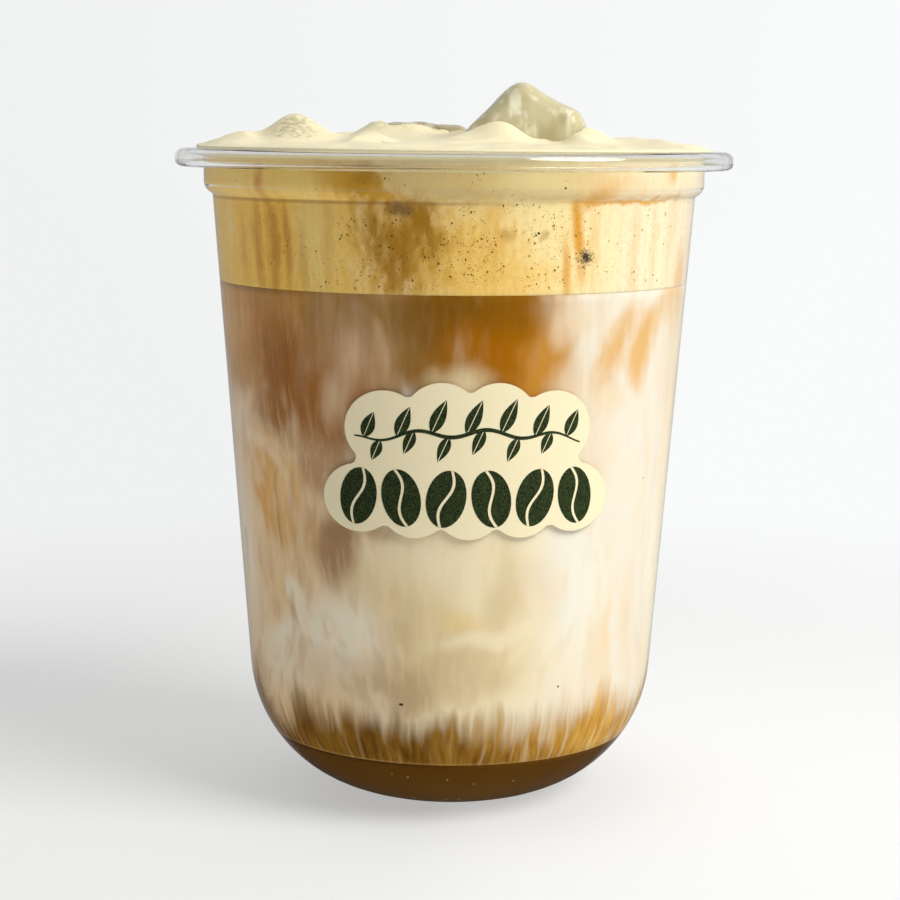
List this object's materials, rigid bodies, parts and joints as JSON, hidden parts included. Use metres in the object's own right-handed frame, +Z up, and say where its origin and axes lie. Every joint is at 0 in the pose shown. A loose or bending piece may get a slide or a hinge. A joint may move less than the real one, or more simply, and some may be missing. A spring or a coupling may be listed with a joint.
{
  "type": "iced banana latte in a clear takeaway cup",
  "caption": "Iced layered latte in a clear round-bottomed plastic cup: dark syrup, marbled milk coffee and a heaped banana cream with ice, filled over the rim.",
  "frame": {"origin": "middle of the cup's foot, on the surface that it stands on", "axes": "+Z up along the cup's axis, -Y towards the side with the sticker, +X to that side's right"},
  "size_m": [0.095, 0.095, 0.1224],
  "materials": {
    "clear_plastic": "clear thermoformed polypropylene, glossy",
    "syrup": "dark brown sugar syrup, wet",
    "latte": "milk and coffee marbled together, wet",
    "cream": "lightly whipped banana cream, satin to wet",
    "ice": "cloudy melting ice under a film of cream",
    "label": "die-cut printed vinyl, satin"
  },
  "bodies": {
    "root": {"cup": "clear_plastic", "syrup": "syrup", "latte": "latte", "cream": "cream", "ice_left": "ice", "ice_middle": "ice", "ice_right": "ice", "sticker": "label"}
  },
  "joints": []
}
